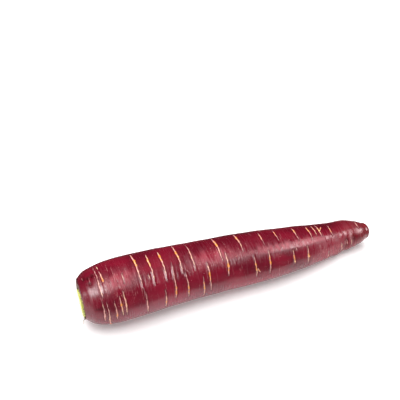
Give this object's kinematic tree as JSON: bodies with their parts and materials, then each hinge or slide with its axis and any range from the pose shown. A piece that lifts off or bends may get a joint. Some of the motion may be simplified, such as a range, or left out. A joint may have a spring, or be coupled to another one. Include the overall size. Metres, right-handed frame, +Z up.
{
  "type": "carrot",
  "caption": "Trimmed purple carrot lying on its side: blunt stout taproot with growth scars across its skin and the cut bases of its leaf stalks in the crown.",
  "frame": {"origin": "on the surface that the carrot lies on, under the middle of its bounding box", "axes": "+X along the root from the crown to the tip, +Z up from the surface"},
  "size_m": [0.1858, 0.036, 0.0355],
  "materials": {
    "skin": "satin, washed living skin",
    "cut_stalks": "matt, freshly cut plant tissue"
  },
  "bodies": {
    "root": {"taproot": "skin", "leaf_stalk_bases": "cut_stalks"}
  },
  "joints": []
}
